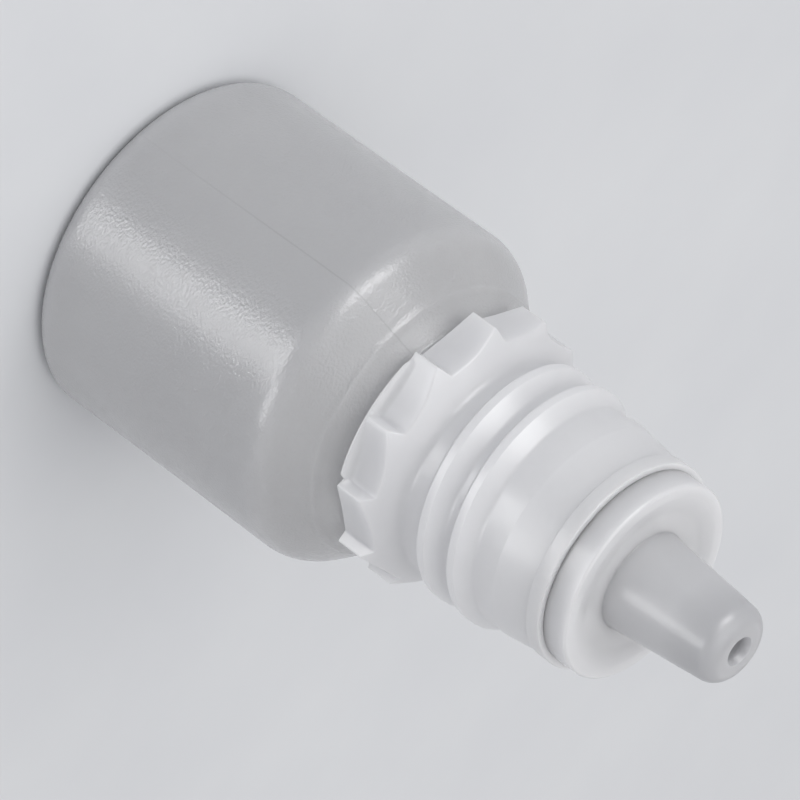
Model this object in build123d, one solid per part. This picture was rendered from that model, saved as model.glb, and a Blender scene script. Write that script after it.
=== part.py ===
from build123d import *
import os
from math import cos, sin, radians

# Squeeze dropper bottle, shown with its screw cap off.
# It is two pieces: the moulded bottle, and the dropper plug that is pushed into its neck.
# Millimetres. +Z runs from the base to the nozzle, and the origin is the centre of the base.

overlap = 1.0                    # how far solids that are fused together reach into one another

# Body
body_radius = 12.5
body_wall = 0.9
base_thickness = 0.7
base_recess_radius = 8.5
base_recess_depth = 0.6
heel_radius = 1.5
shoulder_corner_height = 21.05
shoulder_corner_radius = 2.5
shoulder_slope = 0.84            # millimetres of radius lost for each millimetre of height
shoulder_neck_radius = 8.7

# Neck
neck_radius = 7.85
neck_land_height = 38.2         # top of the straight stretch that carries the thread
neck_top_radius = 7.48
neck_bore_radius = 6.0
bead_radius = 7.65
bead_bottom = 41.0
bead_lower_rounding = 0.08
bead_upper_rounding = 0.15
neck_top = 42.1

# Ratchet ring that a tamper-evident cap band snaps over
ratchet_teeth = 12
ratchet_tip_radius = 10.0
ratchet_root_radius = 9.2
ratchet_bottom = 26.0
ratchet_ridge_length = 2.0
ratchet_flare_top = 30.0
ratchet_flare_rounding = 0.9     # hollow corner where the flare runs into the neck
ratchet_phase = 10.5             # degrees from +X to the first tooth tip
ratchet_step = 2.0               # degrees that a tooth's step face leans over

# Screw thread, right-handed
thread_pitch = 2.7
thread_crest_radius = 8.55
thread_start_angle = 150.0       # degrees from +X, where the thread first has its full height
thread_start_height = 31.1
thread_turns = 1.9
thread_runout_angle = 30.0       # degrees over which each end sinks into the neck
thread_crest_width = 0.6
thread_lower_flank = 0.51        # height taken by the flank that faces the base
thread_upper_flank = 1.35        # height taken by the flank that faces the nozzle
thread_root_sink = 0.2           # depth that the ridge reaches into the neck wall
thread_end_sink = 0.05           # depth of the crest below the neck's surface at the end of a run-out

# Dropper plug
plug_clearance = 0.03
skirt_length = 6.9
skirt_bore_radius = 4.9
skirt_lead_in = 0.35
flange_radius = 7.2
flange_lower_rounding = 0.12
flange_upper_rounding = 0.2
flange_seat_gap = 0.05
flange_top = 44.05
flange_dish_radius = 6.3
flange_dish_depth = 0.3
flange_dish_run = 1.2            # radius over which the face falls to the bottom of the dish
flange_web = 1.1
flange_web_rounding = 0.5        # hollow corner between the web and the inside of the skirt
nozzle_root_radius = 3.56
nozzle_root_rounding = 0.12
nozzle_tip_radius = 2.75
nozzle_tip_rounding = 1.3
nozzle_top = 52.3
passage_radius = 2.3
orifice_radius = 0.8
orifice_length = 1.5
countersink_radius = 1.1
countersink_depth = 0.3


def turned(outline):
    """Revolve a closed outline of (radius, height, corner rounding) points about +Z."""
    points = [(radius, height) for radius, height, rounding in outline]
    roundings = [rounding for radius, height, rounding in outline]
    edge = FilletPolyline(*points, radius=roundings, close=True)
    return revolve(Plane.XZ * make_face(edge), Axis.Z)


def shoulder_height_at(radius, corner_radius, corner_height):
    """Height of the shoulder cone at a radius, from the corner where it leaves the wall."""
    return corner_height + (corner_radius - radius) / shoulder_slope


def bottle_outside():
    shoulder_top = shoulder_height_at(shoulder_neck_radius, body_radius, shoulder_corner_height)
    buried = ratchet_bottom + overlap
    return turned([
        (0, base_recess_depth, 0),
        (base_recess_radius - base_recess_depth, base_recess_depth, 0),
        (base_recess_radius, 0, 0),
        (body_radius, 0, heel_radius),
        (body_radius, shoulder_corner_height, shoulder_corner_radius),
        (shoulder_neck_radius, shoulder_top, 0),
        (shoulder_neck_radius, buried, 0),
        (neck_radius, buried, 0),
        (neck_radius, neck_land_height, 0),
        (neck_top_radius, bead_bottom, 0),
        (bead_radius, bead_bottom, bead_lower_rounding),
        (bead_radius, neck_top, bead_upper_rounding),
        (0, neck_top, 0),
    ])


def bottle_inside():
    """The hollow of the bottle, from the floor up through the neck."""
    inner_radius = body_radius - body_wall
    floor = base_recess_depth + base_thickness
    cone_end = shoulder_height_at(neck_bore_radius, inner_radius, shoulder_corner_height)
    return turned([
        (0, floor, 0),
        (inner_radius, floor, heel_radius - body_wall),
        (inner_radius, shoulder_corner_height, shoulder_corner_radius - body_wall),
        (neck_bore_radius, cone_end, body_wall),
        (neck_bore_radius, neck_top + overlap, 0),
        (0, neck_top + overlap, 0),
    ])


def ratchet_outline():
    """Saw-tooth outline: each tooth falls away slowly and ends in a steep step."""
    points = []
    for tooth in range(ratchet_teeth):
        tip = ratchet_phase + tooth * 360.0 / ratchet_teeth
        for angle, radius in ((tip - ratchet_step, ratchet_root_radius), (tip, ratchet_tip_radius)):
            points.append((radius * cos(radians(angle)), radius * sin(radians(angle))))
    return make_face(Polyline(*points, close=True))


def ratchet_ring():
    """Toothed ring whose front flares down to the neck."""
    height = ratchet_flare_top - ratchet_bottom
    teeth = Pos(0, 0, ratchet_bottom) * extrude(ratchet_outline(), height + overlap)
    flare = turned([
        (0, ratchet_bottom, 0),
        (ratchet_tip_radius, ratchet_bottom, 0),
        (ratchet_tip_radius, ratchet_bottom + ratchet_ridge_length, 0),
        (neck_radius, ratchet_flare_top, ratchet_flare_rounding),
        (neck_radius, ratchet_flare_top + overlap, 0),
        (0, ratchet_flare_top + overlap, 0),
    ])
    return teeth & flare


def thread_section():
    """Cross-section of the ridge, drawn beside the axis and centred on its crest."""
    inner = neck_radius - thread_root_sink
    half_crest = thread_crest_width / 2
    return make_face(Plane.XZ * Polyline(
        (inner, -half_crest - thread_lower_flank),
        (inner, half_crest + thread_upper_flank),
        (thread_crest_radius, half_crest),
        (thread_crest_radius, -half_crest),
        close=True,
    ))


def thread_runout(turn_angle):
    """End of the ridge, sinking into the neck over turn_angle degrees, negative backwards."""
    sunk = thread_crest_radius - neck_radius + thread_end_sink
    climb = thread_pitch * turn_angle / 360.0
    end = Rot(0, 0, turn_angle) * Pos(-sunk, 0, climb) * thread_section()
    return loft([thread_section(), end], ruled=True)


def screw_thread():
    height = thread_pitch * thread_turns
    path = Helix(pitch=thread_pitch, height=height, radius=thread_crest_radius)
    ridge = sweep(thread_section(), path=path, is_frenet=True)
    last = Rot(0, 0, 360.0 * thread_turns) * Pos(0, 0, height)
    whole = ridge + thread_runout(-thread_runout_angle) + last * thread_runout(thread_runout_angle)
    return Rot(0, 0, thread_start_angle) * Pos(0, 0, thread_start_height) * whole


def bottle():
    return bottle_outside() + ratchet_ring() + screw_thread() - bottle_inside()


def dropper_plug():
    skirt_radius = neck_bore_radius - plug_clearance
    seat = neck_top + flange_seat_gap
    skirt_bottom = neck_top - skirt_length
    dish = flange_top - flange_dish_depth
    web_bottom = dish - flange_web
    return turned([
        (skirt_bore_radius, skirt_bottom, 0),
        (skirt_radius - skirt_lead_in, skirt_bottom, 0),
        (skirt_radius, skirt_bottom + 2 * skirt_lead_in, 0),
        (skirt_radius, seat, 0),
        (flange_radius, seat, flange_lower_rounding),
        (flange_radius, flange_top, flange_upper_rounding),
        (flange_dish_radius, flange_top, 0),
        (flange_dish_radius - flange_dish_run, dish, 0),
        (nozzle_root_radius, dish, nozzle_root_rounding),
        (nozzle_tip_radius, nozzle_top, nozzle_tip_rounding),
        (countersink_radius, nozzle_top, 0),
        (orifice_radius, nozzle_top - countersink_depth, 0),
        (orifice_radius, nozzle_top - countersink_depth - orifice_length, 0),
        (passage_radius, web_bottom, 0),
        (skirt_bore_radius, web_bottom, flange_web_rounding),
    ])


os.makedirs("parts", exist_ok=True)
export_step(bottle(), "parts/bottle.step")
export_step(dropper_plug(), "parts/dropper_plug.step")
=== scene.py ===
from math import acos, ceil, cos, pi, radians, sin, sqrt, tan

import bmesh
import bpy
import numpy as np
from mathutils import Matrix, Vector


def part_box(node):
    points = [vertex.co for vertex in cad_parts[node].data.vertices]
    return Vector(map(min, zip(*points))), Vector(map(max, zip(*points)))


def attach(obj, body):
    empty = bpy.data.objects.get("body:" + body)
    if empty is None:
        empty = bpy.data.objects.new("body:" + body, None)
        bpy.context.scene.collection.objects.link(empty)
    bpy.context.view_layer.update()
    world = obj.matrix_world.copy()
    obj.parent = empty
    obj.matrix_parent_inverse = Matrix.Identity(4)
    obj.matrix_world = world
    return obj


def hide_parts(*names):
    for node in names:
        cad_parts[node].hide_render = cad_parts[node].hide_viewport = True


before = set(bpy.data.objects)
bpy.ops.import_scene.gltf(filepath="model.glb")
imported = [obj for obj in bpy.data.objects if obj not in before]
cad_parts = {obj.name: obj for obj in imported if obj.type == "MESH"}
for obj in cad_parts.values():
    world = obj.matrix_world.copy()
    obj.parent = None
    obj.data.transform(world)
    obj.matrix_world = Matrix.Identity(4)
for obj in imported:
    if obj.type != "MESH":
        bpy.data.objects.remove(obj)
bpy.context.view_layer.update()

# Shapes are written in millimetres and turned into metres as each mesh is made.
MM = 0.001
same_point = 2e-7                # metres: closer points than this are welded

bottle_low, bottle_high = (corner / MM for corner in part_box("bottle"))
plug_low, plug_high = (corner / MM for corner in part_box("dropper_plug"))

# Body of the bottle
body_radius = (bottle_high.x - bottle_low.x) / 2
body_wall = 0.9
base_recess_radius = 8.5
base_recess_depth = 0.6
base_recess_rounding = 0.3
base_rim_rounding = 0.2
base_row_radii = (0.0, 0.25, 0.6, 1.2, 2.0, 3.0, 4.0, 5.0, 6.0, 6.8)
base_floor = 1.3                 # height of the inside of the base
pinch_height = 0.16              # low ridge that the mould pinches across the base
pinch_half_width = 0.22
pinch_reach = 6.6
pinch_fade = 0.6
heel_radius = 1.5
wall_unevenness = 0.03           # the most that the blown wall falls short of its nominal radius
wall_rows = 24
shoulder_height = 21.05
shoulder_rounding = 2.5
shoulder_slope = 0.84            # millimetres of radius lost for each millimetre of height
shoulder_arc_share = 0.45        # the wall's rows end this share of the rounding below the corner
shoulder_neck_radius = 8.7
shoulder_foot_rounding = 0.45

# Neck
neck_radius = 7.85
neck_top_radius = 7.48
neck_bore_radius = 6.0
bead_radius = 7.65
bead_bottom = 41.0
neck_top = bottle_high.z
land_top = 38.2

# Ratchet ring
teeth = 12
tooth_tip = 10.0
tooth_root = 9.2
tooth_phase = 10.5               # degrees from +X to the first tooth tip
tooth_step = 2.0                 # degrees that a tooth's step face leans over
tooth_hollow = 0.05              # how far a tooth's flank is sunk between its two ends
tooth_tip_easing = 0.04
tooth_tip_spread = 0.4           # degrees
tooth_root_easing = 0.05
tooth_root_spread = 0.5          # degrees
ring_edge_easing = 0.07
ring_edge_zone = 0.2             # height at either end of the toothed side that its edges take
fin_start, fin_end = 253.0, 311.0    # degrees between which a thin flash fin runs along the ring's back
fin_fade_in, fin_fade_out = 4.0, 6.0
fin_inset = 0.06
ring_bottom = 26.0
ring_ridge_top = 28.0
flare_top = 30.0
flare_rounding = 0.9

# Thread
pitch = 2.7
thread_height = 0.7
thread_angle = 150.0             # degrees where the thread has its full height
thread_z = 31.1                  # height of the crest's middle there
thread_fade_in = 45.0            # degrees
thread_full_until = 835.0
thread_fade_out = 95.0
thread_sink = 1.02               # share of its height by which each end sinks

# Mould marks
parting_angles = (70.0, 250.0)
parting_height = 0.012
parting_half_width = 0.05
parting_start = 0.2              # height at which it begins, on the heel
parting_on_heel = 0.8            # share of its full height
parting_on_shoulder = 0.9
witness_radius = 10.05           # circle left on the shoulder by the mould's neck insert

# Dropper plug
flange_radius = (plug_high.x - plug_low.x) / 2
skirt_bottom = plug_low.z
nozzle_top = plug_high.z
skirt_radius = 5.97
skirt_bore_radius = 4.9
skirt_lead_in = 0.35
skirt_middle = 38.5
flange_seat = neck_top + 0.015   # leaves a line between bead and flange, and no contact
flange_top = 44.05
dish_depth = 0.3
dish_radius = 6.3
dish_run = 1.2
web_bottom = 42.55
nozzle_root_radius = 3.56
nozzle_tip_radius = 2.75
nozzle_tip_rounding = 1.25
nozzle_taper = ((46.5, 0.26), (49.4, 0.52))    # (height, how much slimmer than the root)
passage_radius = 2.3
orifice_radius = 0.8
orifice_bottom = 50.5
countersink_radius = 1.08
countersink_foot_radius = 0.86


def length(line):
    return sqrt(line[0] * line[0] + line[1] * line[1])


def rounded(outline, step=15.0):
    """Points of an open outline of (x, y, rounding), with each rounded corner turned into an arc.

    An arc has a point at least every step degrees.
    """
    made = [outline[0][:2]]
    for before, corner, after in zip(outline, outline[1:], outline[2:]):
        place, rounding = np.array(corner[:2]), corner[2]
        backward, forward = np.array(before[:2]) - place, np.array(after[:2]) - place
        along = backward[0] * forward[0] + backward[1] * forward[1]
        turn = pi - acos(max(-1.0, min(1.0, along / (length(backward) * length(forward)))))
        if rounding <= 0 or turn < 1e-4:
            made.append(corner[:2])
            continue
        backward, forward = backward / length(backward), forward / length(forward)
        inward = (backward + forward) / length(backward + forward)
        reach = rounding * tan(turn / 2)
        centre = place + inward * sqrt(reach ** 2 + rounding ** 2)
        start = place + backward * reach - centre
        end = place + forward * reach - centre
        count = max(2, ceil(turn / radians(step)))
        for i in range(count + 1):
            from_start = sin(turn * (1 - i / count)) / sin(turn)
            from_end = sin(turn * i / count) / sin(turn)
            made.append(tuple(centre + from_start * start + from_end * end))
    made.append(outline[-1][:2])
    return made


def smooth(t):
    t = np.clip(t, 0.0, 1.0)
    return t * t * (3 - 2 * t)


def soft_min(a, b, width):
    """The smaller of a and b, with the corner where they cross eased over width."""
    return (a + b - np.sqrt((a - b) ** 2 + width ** 2)) / 2 + width / 4


# ---------------------------------------------------------------- columns round the axis
def column_angles(start, spacing, extra):
    """Angles in degrees over one turn from start: the extra ones, and even ones wherever they leave room."""
    even = np.arange(0, 360.0, spacing)
    close = np.array([(a - start) % 360.0 for a in extra])
    even = np.array([a for a in even if a == 0 or np.abs(close - a).min() > spacing * 0.4])
    return start + np.append(np.unique(np.round(np.concatenate([even, close]), 6)), 360.0)


tooth_marks = (-2.5, -2.15, -1.8, -1.0, -0.35, -0.1, 0.2, 0.6)
parting_marks = (-1.6, -0.8, -0.45, -0.25, -0.1, 0.1, 0.25, 0.45, 0.8, 1.6)
detail_angles = [tooth_phase + 360.0 / teeth * k + d for k in range(teeth) for d in tooth_marks]
detail_angles += [a + d for a in parting_angles for d in parting_marks]
angles = column_angles(thread_angle, 1.25, detail_angles)
turn_share = (angles - thread_angle) / 360.0
from_parting = (angles - parting_angles[0] + 90.0) % 180.0 - 90.0


def parting(radius, strength=1.0):
    """How far the mould's parting line stands proud at each column, on a wall of that radius."""
    distance = radius * np.radians(from_parting)
    return strength * parting_height * np.exp(-(distance / parting_half_width) ** 2)


def chord(angle, start_angle, start_radius, end_angle, end_radius):
    """Radius, at an angle, of the straight line between two points given by their angles and radii."""
    start_x, start_y = start_radius * cos(radians(start_angle)), start_radius * sin(radians(start_angle))
    end_x, end_y = end_radius * cos(radians(end_angle)), end_radius * sin(radians(end_angle))
    across, along = np.cos(np.radians(angle)), np.sin(np.radians(angle))
    return (start_x * end_y - end_x * start_y) / (along * (start_x - end_x) + across * (end_y - start_y))


def tooth_radius():
    """Outline of the ratchet ring: a flank falls from each tip, then a steep step rises to the next."""
    sector = 360.0 / teeth
    flank_end = sector - tooth_step
    past = (angles - tooth_phase) % sector
    flank = chord(past, 0.0, tooth_tip, flank_end, tooth_root)
    hollow = tooth_hollow * np.sin(pi * np.clip(past / flank_end, 0, 1)) ** 2
    step = chord(past, flank_end, tooth_root, sector, tooth_tip)
    outline = np.where(past <= flank_end, flank - hollow, step)
    ease_tip = tooth_tip_easing * np.exp(-(np.minimum(past, sector - past) / tooth_tip_spread) ** 2)
    ease_root = tooth_root_easing * np.exp(-((past - flank_end) / tooth_root_spread) ** 2)
    return outline - ease_tip + ease_root


# ---------------------------------------------------------------- bottle
neck_slope = rounded([
    (ring_ridge_top, tooth_tip, 0), (flare_top, neck_radius, flare_rounding), (land_top, neck_radius, 0),
], step=8)
neck_slope_z, neck_slope_r = (np.array(v) for v in zip(*neck_slope))
# Across the thread: (height from the middle of its crest, rise, rounding)
thread_section = rounded([
    (-1.10, 0.0, 0), (-0.70, 0.0, 0.20), (-0.30, thread_height, 0.12), (0.30, thread_height, 0.12),
    (1.35, 0.0, 0.6), (1.60, 0.0, 0),
], step=12)
section_u, section_h = (np.array(v) for v in zip(*thread_section))


def neck_surface(z):
    return np.interp(z, neck_slope_z, neck_slope_r)


def thread_rise(z):
    """Height of the thread above the neck at each column. Its ends sink back into the neck."""
    rise = np.zeros_like(angles)
    for turn in range(-1, 3):
        along = angles + 360.0 * turn
        u = z - thread_z - pitch * (along - thread_angle) / 360.0
        whole = np.interp(u, section_u, section_h, left=0, right=0)
        up = smooth((along - thread_angle + thread_fade_in) / thread_fade_in)
        down = smooth((thread_full_until + thread_fade_out - along) / thread_fade_out)
        sunk = whole - thread_height * thread_sink * (1 - up * down)
        rise = np.maximum(rise, np.maximum(sunk, 0))
    return rise


def bottle_rows():
    """Rows of (radius, height) for every column: base, up the outside, then down the inside."""
    rows = []

    def add(r, z):
        rows.append((np.zeros_like(angles) + r, np.zeros_like(angles) + z))

    # Base recess, with the low ridge that the mould pinches across it
    recess = rounded([
        (0.0, base_recess_depth, 0),
        (base_recess_radius - base_recess_depth, base_recess_depth, base_recess_rounding),
        (base_recess_radius, 0.0, base_rim_rounding), (body_radius, 0.0, heel_radius),
        (body_radius, shoulder_height / 2, 0),
    ], step=9)
    for r in base_row_radii:
        across = r * np.sin(np.radians(from_parting))
        ends = smooth((pinch_reach - r) / pinch_fade)
        add(r, base_recess_depth - pinch_height * ends * np.exp(-(across / pinch_half_width) ** 2))
    for r, z in recess[1:-1]:
        on_heel = (z > parting_start) * (r > body_radius - heel_radius)
        add(r + parting(r, parting_on_heel) * on_heel, z)
    # Wall, with the slight unevenness of blown plastic, always inside the nominal radius
    wall_bottom = heel_radius
    wall_top = shoulder_height - shoulder_rounding * shoulder_arc_share
    a = np.radians(angles)
    for i in range(1, wall_rows):
        t = i / wall_rows
        z = wall_bottom + (wall_top - wall_bottom) * t
        ease = sin(pi * t)
        wave = 0.5 + 0.3 * np.sin(3 * a + 0.21 * z) + 0.2 * np.sin(5 * a - 0.33 * z + 1.0)
        add(body_radius - wall_unevenness * ease * wave + parting(body_radius), z)
    # Shoulder, with the witness line of the mould's neck insert
    shoulder_end = shoulder_height + (body_radius - shoulder_neck_radius) / shoulder_slope
    shoulder = rounded([
        (body_radius, wall_top - 0.3, 0), (body_radius, shoulder_height, shoulder_rounding),
        (shoulder_neck_radius, shoulder_end, shoulder_foot_rounding), (shoulder_neck_radius, ring_bottom, 0),
    ], step=5)
    normal = Vector((1.0, shoulder_slope, 0)).normalized()
    witness = ((0.35, 0), (0.12, 0), (0.05, 0.03), (0, 0.035), (-0.05, 0.03), (-0.12, 0), (-0.4, 0))
    for (r, z), (r2, z2) in zip(shoulder[1:], shoulder[2:]):
        out = parting(r, parting_on_shoulder)
        past_wall = r < body_radius - 0.01
        add(r + out * normal.x, z + out * normal.y * past_wall)
        long_cone = r - r2 > 1.0
        if long_cone:
            for across, rise in witness:
                rw = witness_radius + across
                zw = z + (z2 - z) * (r - rw) / (r - r2)
                up = out + rise
                add(rw + up * normal.x, zw + up * normal.y)
    # Ring: back face, bottom edge with the flash fin along part of it, toothed side, flare
    outline = tooth_radius()
    spin = angles % 360.0
    fin = smooth((spin - fin_start) / fin_fade_in) * smooth((fin_end - spin) / fin_fade_out)
    fin_radius = np.maximum(outline, outline + (tooth_tip - fin_inset - outline) * fin)
    for t in (0.0, 0.35, 0.7, 0.9):
        add(shoulder_neck_radius + (fin_radius - 0.08 - shoulder_neck_radius) * t, ring_bottom)
    for inset, rise in ((0.05, 0.0), (0.012, 0.015), (0.0, 0.05), (0.0, 0.11)):
        add(fin_radius - inset, ring_bottom + rise)
    add(fin_radius - 0.03 * fin, ring_bottom + 0.14)
    add(outline, ring_bottom + 0.17 + 0.02 * fin)
    edge = ring_ridge_top + (tooth_tip - outline) * (flare_top - ring_ridge_top) / (tooth_tip - neck_radius)
    side_low, side_high = ring_bottom + ring_edge_zone, edge - ring_edge_zone
    for t in (0.25, 0.5, 0.75):
        add(outline, side_low + (side_high - side_low) * t)
    for d in (-0.2, -0.12, -0.06, -0.02, 0.02, 0.06, 0.12, 0.2):
        z = edge + d
        flare = neck_surface(z) + (z < ring_ridge_top) * (ring_ridge_top - z)
        add(soft_min(outline, flare, ring_edge_easing), z)
    zone_bottom = thread_z + section_u[0]
    first = edge + 0.3
    for t in np.linspace(0, 1, 12)[:-1]:
        z = first + (zone_bottom - first) * t
        r = soft_min(outline, neck_surface(z), ring_edge_easing * (1 - t))
        add(r + thread_rise(z), z)
    # Thread: rows climb with the thread, between a fan of rows that opens below it and one that closes above
    steps = section_u - section_u[0]
    heights = [zone_bottom + turn_share * s for s in steps[:-1]]
    for wrap in range(2):
        heights += [zone_bottom + pitch * (wrap + turn_share) + s for s in steps[:-1]]
    top = zone_bottom + pitch * (2 + turn_share)
    heights += [top + (1 - turn_share) * s for s in steps]
    for z in heights:
        add(neck_surface(z) + thread_rise(z), z)
    # Land, bead, lip and bore, then the inside of the shoulder, wall and floor
    inner_radius = body_radius - body_wall
    cone_end = shoulder_height + (inner_radius - neck_bore_radius) / shoulder_slope
    for r, z in rounded([
        (neck_radius, land_top - 0.05, 0), (neck_radius, land_top, 0.5),
        (neck_top_radius, bead_bottom, 0.06), (bead_radius, bead_bottom, 0.08),
        (bead_radius, neck_top, 0.08), (neck_bore_radius, neck_top, 0.12),
        (neck_bore_radius, 36.0, 0), (neck_bore_radius, 31.0, 0),
        (neck_bore_radius, cone_end, body_wall),
        (inner_radius, shoulder_height, shoulder_rounding - body_wall), (inner_radius, 12.0, 0),
        (inner_radius, base_floor, heel_radius - body_wall), (8.0, base_floor, 0),
        (4.0, base_floor, 0), (0.0, base_floor, 0),
    ], step=14)[1:]:
        add(r, z)
    return rows


# ---------------------------------------------------------------- plug
plug_angles = np.linspace(0.0, 360.0, 289)


def plug_rows():
    """Rows of (radius, height) round the plug, starting and ending at the foot of its skirt."""
    dish = flange_top - dish_depth
    taper = [(nozzle_root_radius - slimmer, z, 0) for z, slimmer in nozzle_taper]
    return rounded([
        (skirt_bore_radius, skirt_bottom, 0), (skirt_radius - skirt_lead_in, skirt_bottom, 0.08),
        (skirt_radius, skirt_bottom + 2 * skirt_lead_in, 0.2), (skirt_radius, skirt_middle, 0),
        (skirt_radius, flange_seat, 0.05), (flange_radius, flange_seat, 0.02),
        (flange_radius, flange_top, 0.2), (dish_radius, flange_top, 1.2),
        (dish_radius - dish_run, dish, 2.0), (nozzle_root_radius + 0.5, dish, 0),
        (nozzle_root_radius, dish, 0.12), *taper, (nozzle_tip_radius, nozzle_top, nozzle_tip_rounding),
        (countersink_radius, nozzle_top, 0.03), (countersink_foot_radius, nozzle_top - 0.4, 0.05),
        (orifice_radius, nozzle_top - 0.6, 0.05), (orifice_radius, orifice_bottom, 0.1),
        (passage_radius, web_bottom, 0.2),
        (skirt_bore_radius, web_bottom, 0.5), (skirt_bore_radius, skirt_bottom + 0.1, 0.05),
        (skirt_bore_radius + 0.05, skirt_bottom, 0),
    ], step=9)


# ---------------------------------------------------------------- meshes
def make_piece(name, rows, columns, material, closed):
    """A mesh from rows of (radius, height) and column angles in degrees.

    The last row of a closed piece is joined to its first.
    """
    a = np.radians(columns)
    r = np.maximum(np.array([row[0] + 0 * a for row in rows]), 0)
    z = np.array([row[1] + 0 * a for row in rows])
    points = np.stack([r * np.cos(a), r * np.sin(a), z], axis=-1) * MM
    count, width = r.shape
    index = np.arange(count * width).reshape(count, width)
    if closed:
        index = np.vstack([index, index[:1]])
    corners = (index[:-1, :-1], index[:-1, 1:], index[1:, 1:], index[1:, :-1])
    quads = np.stack(corners, axis=-1).reshape(-1, 4)
    mesh = bpy.data.meshes.new(name)
    mesh.from_pydata(points.reshape(-1, 3).tolist(), [], quads.tolist())
    weld(mesh)
    for polygon in mesh.polygons:
        polygon.use_smooth = True
    mesh.materials.append(material)
    piece = bpy.data.objects.new(name, mesh)
    bpy.context.scene.collection.objects.link(piece)
    return piece


def weld(mesh):
    """Join the points where a row meets its own start or the axis, and turn every face outwards."""
    work = bmesh.new()
    work.from_mesh(mesh)
    bmesh.ops.remove_doubles(work, verts=work.verts, dist=same_point)
    bmesh.ops.dissolve_degenerate(work, edges=work.edges, dist=same_point / 2)
    bmesh.ops.recalc_face_normals(work, faces=work.faces)
    work.to_mesh(mesh)
    work.free()


# ---------------------------------------------------------------- materials
def new_material(name):
    material = bpy.data.materials.new(name)
    material.use_nodes = True
    nodes = material.node_tree.nodes
    nodes.clear()
    shader = nodes.new("ShaderNodeBsdfPrincipled")
    output = nodes.new("ShaderNodeOutputMaterial")
    material.node_tree.links.new(shader.outputs["BSDF"], output.inputs["Surface"])
    return material, shader


def node(material, kind, **values):
    made = material.node_tree.nodes.new(kind)
    for name, value in values.items():
        setattr(made, name, value)
    return made


def wire(material, source, target):
    material.node_tree.links.new(source, target)


def noise(material, where, scale, detail, roughness=0.5):
    """Smooth noise whose patches are about 1 / scale metres across."""
    made = node(material, "ShaderNodeTexNoise")
    made.inputs["Scale"].default_value = scale
    made.inputs["Detail"].default_value = detail
    made.inputs["Roughness"].default_value = roughness
    wire(material, where, made.inputs["Vector"])
    return made.outputs["Fac"]


def remap(material, value, low, high, to_low, to_high):
    """A value that goes from to_low to to_high as value goes from low to high, and stays there beyond."""
    made = node(material, "ShaderNodeMapRange")
    made.inputs["From Min"].default_value = low
    made.inputs["From Max"].default_value = high
    made.inputs["To Min"].default_value = to_low
    made.inputs["To Max"].default_value = to_high
    wire(material, value, made.inputs["Value"])
    return made.outputs["Result"]


def maths(material, operation, a, b):
    made = node(material, "ShaderNodeMath", operation=operation)
    for socket, value in zip(made.inputs, (a, b)):
        if isinstance(value, (int, float)):
            socket.default_value = value
        else:
            wire(material, value, socket)
    return made.outputs["Value"]


def times(material, a, b):
    return maths(material, "MULTIPLY", a, b)


def plus(material, a, b):
    return maths(material, "ADD", a, b)


def spread(material, value, low, high):
    """A noise value, whose useful range is about 0.3 to 0.7, spread from low to high."""
    return remap(material, value, 0.3, 0.7, low, high)


def clouded(material, clouds, darker, lighter):
    """A tone that drifts between two close colours."""
    return mix(material, spread(material, clouds, 0.0, 1.0), darker, lighter)


def split_place(material, place):
    """The X, Y and Z of a place on the object, in metres."""
    made = node(material, "ShaderNodeSeparateXYZ")
    wire(material, place, made.inputs["Vector"])
    return made.outputs["X"], made.outputs["Y"], made.outputs["Z"]


def relief(material, shader, height, depth):
    """Fine surface relief, where a height of 1 stands depth metres proud."""
    made = node(material, "ShaderNodeBump")
    made.inputs["Strength"].default_value = 1.0
    made.inputs["Distance"].default_value = depth
    wire(material, height, made.inputs["Height"])
    wire(material, made.outputs["Normal"], shader.inputs["Normal"])


def mix(material, share, a, b):
    made = node(material, "ShaderNodeMix", data_type="RGBA")
    for socket, value in ((made.inputs[0], share), (made.inputs[6], a), (made.inputs[7], b)):
        if isinstance(value, (int, float)):
            socket.default_value = value
        elif isinstance(value, tuple):
            socket.default_value = (*value, 1.0)
        else:
            wire(material, value, socket)
    return made.outputs[2]


def translucent(shader, depth):
    """Soft plastic that light enters. These sockets are even over the surface, so they are set directly."""
    shader.inputs["Subsurface Weight"].default_value = 1.0
    shader.inputs["Subsurface Radius"].default_value = (1.0, 1.0, 1.0)
    shader.inputs["Subsurface Scale"].default_value = depth
    shader.inputs["IOR"].default_value = 1.5


def seam_shade_share(material, x, y, height):
    """How dark the painted shade along the thin parting line's ridge is: on the body only, and fainter low
    on the wall.
    """
    turn = radians(parting_angles[0])
    side = maths(material, "SUBTRACT", times(material, x, sin(turn)), times(material, y, cos(turn)))
    away = maths(material, "ABSOLUTE", side, 0.0)
    darkest = 0.15
    line = remap(material, away, 0.025 * MM, 0.075 * MM, darkest, 0.0)
    upper = remap(material, height, 3.0 * MM, 14.0 * MM, 0.2, 1.0)
    below_ring = remap(material, height, (ring_bottom - 1.0) * MM, ring_bottom * MM, 1.0, 0.0)
    return times(material, line, times(material, upper, below_ring))


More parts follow.
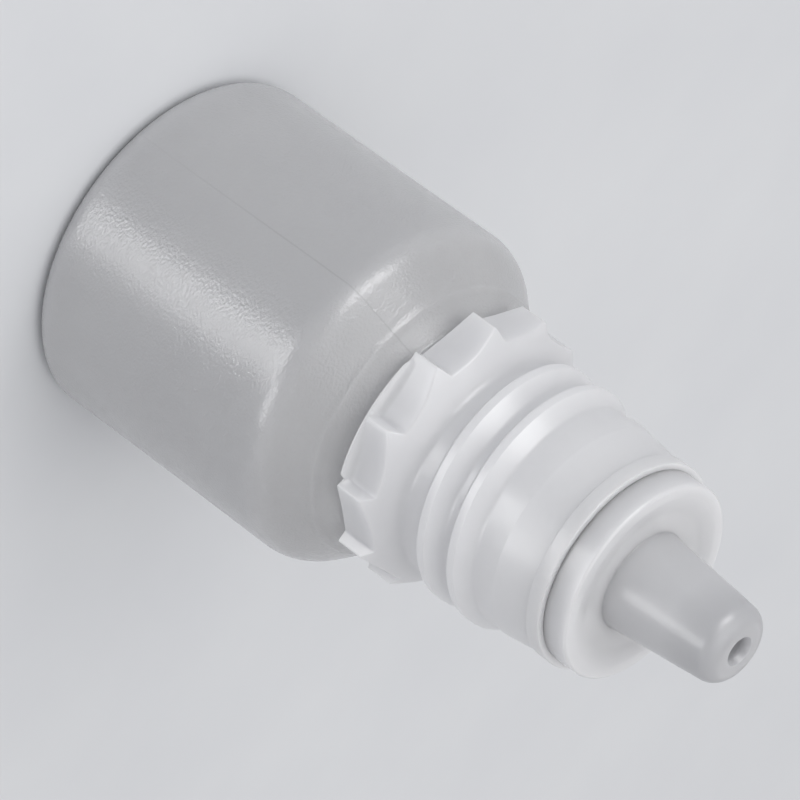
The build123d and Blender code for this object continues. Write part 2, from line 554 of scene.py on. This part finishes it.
# Each range of roughness stays clear of 0.274. A range that crossed it showed up as blotches or thin contour
# lines in the picture.
def bottle_material():
    """Satin plastic: grey and pebbled where the body is thin, whiter and smooth where the neck is thick."""
    body_dark, body_light = (0.510, 0.511, 0.523), (0.540, 0.541, 0.552)
    neck_dark, neck_light = (0.722, 0.723, 0.738), (0.752, 0.753, 0.767)
    ring_tone = (0.672, 0.673, 0.687)
    # painted shade: the dark line beside the parting line's ridge
    seam_shade_tone = (0.16, 0.16, 0.17)
    neck_relief = 0.08               # share of the body's pebbles that the neck has

    material, shader = new_material("bottle_plastic")
    place = node(material, "ShaderNodeTexCoord").outputs["Object"]
    x, y, height = split_place(material, place)
    neck = remap(material, height, (ring_bottom - 0.1) * MM, (ring_bottom + 0.1) * MM, 0.0, 1.0)
    # The lighter neck tone reaches down under the ring's overhang. This is partly the thicker wall there and
    # partly painted light that fills the shade in the gap under the ring.
    thick_and_painted_fill = remap(material, height, (ring_bottom - 1.7) * MM, (ring_bottom + 0.1) * MM, 0.0, 1.0)
    above_ring = remap(material, height, (ring_ridge_top + 1.0) * MM, (flare_top + 1.0) * MM, 0.0, 1.0)

    clouds = noise(material, place, 130.0, 3.0)
    body_tone = clouded(material, clouds, body_dark, body_light)
    neck_tone = clouded(material, clouds, neck_dark, neck_light)
    plain = mix(material, thick_and_painted_fill, body_tone, mix(material, above_ring, ring_tone, neck_tone))
    # Painted shade along the parting line's ridge darkens the base colour there.
    seam_shade = seam_shade_share(material, x, y, height)
    wire(material, mix(material, seam_shade, plain, seam_shade_tone), shader.inputs["Base Color"])

    rough_body = spread(material, noise(material, place, 90.0, 1.0), 0.20, 0.235)
    rough_neck = spread(material, noise(material, place, 120.0, 1.0), 0.30, 0.35)
    body = maths(material, "SUBTRACT", 1.0, neck)
    rough = plus(material, times(material, rough_body, body), times(material, rough_neck, neck))
    wire(material, rough, shader.inputs["Roughness"])

    squeezed = node(material, "ShaderNodeMapping")
    squeezed.inputs["Scale"].default_value = (1.0, 1.0, 1.5)
    wire(material, place, squeezed.inputs["Vector"])
    pebbles = noise(material, squeezed.outputs["Vector"], 4600.0, 1.5, 0.45)
    drift = noise(material, place, 260.0, 2.0)
    strength = plus(material, body, times(material, neck, neck_relief))
    height_map = plus(material, times(material, pebbles, strength), times(material, drift, 0.5))
    relief(material, shader, height_map, depth=0.000031)
    translucent(shader, depth=0.0038)
    return material


def plug_material():
    """Smoother plastic: whitest on the flange, clearer and so darker towards the nozzle's tip."""
    nozzle_dark, nozzle_light = (0.550, 0.552, 0.564), (0.575, 0.577, 0.589)
    tip_tone = (0.430, 0.432, 0.445)
    flange_tone = (0.615, 0.616, 0.627)

    material, shader = new_material("plug_plastic")
    place = node(material, "ShaderNodeTexCoord").outputs["Object"]
    x, y, height = split_place(material, place)
    radius = maths(material, "SQRT", plus(material, times(material, x, x), times(material, y, y)), 0.0)
    root = nozzle_root_radius
    outside_root = remap(material, radius, (root + 0.02) * MM, (root + 0.10) * MM, 0.0, 1.0)
    towards_tip = remap(material, height, (nozzle_top - 4.0) * MM, (nozzle_top - 0.5) * MM, 0.0, 1.0)
    nozzle_tone = clouded(material, noise(material, place, 150.0, 1.5), nozzle_dark, nozzle_light)
    nozzle = mix(material, towards_tip, nozzle_tone, tip_tone)
    wire(material, mix(material, outside_root, nozzle, flange_tone), shader.inputs["Base Color"])

    rough = spread(material, noise(material, place, 120.0, 1.0), 0.285, 0.33)
    wire(material, rough, shader.inputs["Roughness"])
    fine = noise(material, place, 1500.0, 1.0, 0.4)
    drift = noise(material, place, 500.0, 2.0)
    relief(material, shader, plus(material, times(material, fine, 0.25), drift), depth=0.000010)
    translucent(shader, depth=0.0030)
    return material


def floor_material():
    material, shader = new_material("floor_paper")
    place = node(material, "ShaderNodeTexCoord").outputs["Object"]
    fibres = noise(material, place, 60.0, 4.0)
    tone = clouded(material, fibres, (0.68, 0.69, 0.71), (0.71, 0.72, 0.735))
    wire(material, tone, shader.inputs["Base Color"])
    shader.inputs["Roughness"].default_value = 0.85
    return material


# ---------------------------------------------------------------- pieces
bottle_shell = make_piece("bottle_shell", bottle_rows(), angles, bottle_material(), closed=False)
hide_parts("bottle")
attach(bottle_shell, "bottle")

plug_shell = make_piece("plug_shell", plug_rows(), plug_angles, plug_material(), closed=True)
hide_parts("dropper_plug")
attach(plug_shell, "plug")

# ---------------------------------------------------------------- floor, light and camera
floor_side = 3.0
half = floor_side / 2
floor_mesh = bpy.data.meshes.new("floor")
floor_corners = [(-half, -half, 0), (half, -half, 0), (half, half, 0), (-half, half, 0)]
floor_mesh.from_pydata(floor_corners, [], [(0, 1, 2, 3)])
floor_mesh.materials.append(floor_material())
floor = bpy.data.objects.new("floor", floor_mesh)
bpy.context.scene.collection.objects.link(floor)
floor.visible_shadow = False     # lets through the highlight lights that stand below its level

world = bpy.data.worlds.new("studio")
world.use_nodes = True
background = world.node_tree.nodes["Background"]
background.inputs["Color"].default_value = (0.965, 0.965, 0.985, 1.0)
background.inputs["Strength"].default_value = 0.56
bpy.context.scene.world = world

middle = Vector((0.0, 0.0, 0.026))    # what the lights face


def soft_light(name, towards, distance, size, size_y, watts, glint_only=False):
    """A rectangular studio light in a direction from the object, facing it.

    A light with glint_only is seen in the plastic's sheen and adds nothing to its even tone.
    """
    data = bpy.data.lights.new(name, "AREA")
    data.shape = "RECTANGLE"
    data.size = size
    data.size_y = size_y
    data.energy = watts
    data.cycles.use_multiple_importance_sampling = not glint_only
    light = bpy.data.objects.new(name, data)
    direction = Vector(towards).normalized()
    light.location = middle + direction * distance
    light.rotation_mode = "QUATERNION"
    light.rotation_quaternion = direction.to_track_quat("Z", "Y")
    light.visible_diffuse = not glint_only
    bpy.context.scene.collection.objects.link(light)
    return light


# Name, direction, distance, width and height in metres, power in watts. The glint_only ones draw the bright
# streaks on the body, shoulder and neck, and the others give the even tone.
soft_light("low_front", (0.226, -0.845, -0.485), 0.42, 0.07, 0.10, 0.29, glint_only=True)
soft_light("low_strip", (0.420, -0.757, -0.500), 0.42, 0.025, 0.16, 0.19, glint_only=True)
soft_light("low_right", (0.644, -0.741, -0.191), 0.42, 0.15, 0.13, 0.42, glint_only=True)
soft_light("left_glint", (-0.656, -0.656, 0.375), 0.42, 0.28, 0.17, 1.10, glint_only=True)
soft_light("overhead", (-0.25, -0.35, 0.90), 0.70, 0.80, 0.80, 3.0)
soft_light("behind", (0.0, 0.885, 0.466), 0.60, 0.40, 0.30, 0.22, glint_only=True)
soft_light("right_fill", (0.85, -0.50, 0.15), 0.70, 0.50, 0.50, 0.35)
soft_light("left_fill", (-0.85, -0.75, 0.15), 0.70, 0.50, 0.50, 0.42)

camera_data = bpy.data.cameras.new("camera")
camera_data.lens = 287.9         # millimetres, on the 36 mm sensor
camera_data.sensor_width = 36.0
camera_data.clip_start = 0.02
camera_data.clip_end = 10.0
camera = bpy.data.objects.new("camera", camera_data)
camera_place = Vector((-0.00025, -0.3581, 0.2328))
elevation = radians(30.53)
roll = radians(126.0)            # the bottle lies across the picture, its nozzle at the lower right
right = Vector((1.0, 0.0, 0.0))
up = Vector((0.0, sin(elevation), cos(elevation)))
back = Vector((0.0, -cos(elevation), sin(elevation)))
across = right * cos(roll) + up * sin(roll)
above = up * cos(roll) - right * sin(roll)
turned = Matrix((across, above, back)).transposed().to_4x4()
camera.matrix_world = Matrix.Translation(camera_place) @ turned
bpy.context.scene.collection.objects.link(camera)
bpy.context.scene.camera = camera
bpy.context.scene.view_settings.view_transform = "Standard"
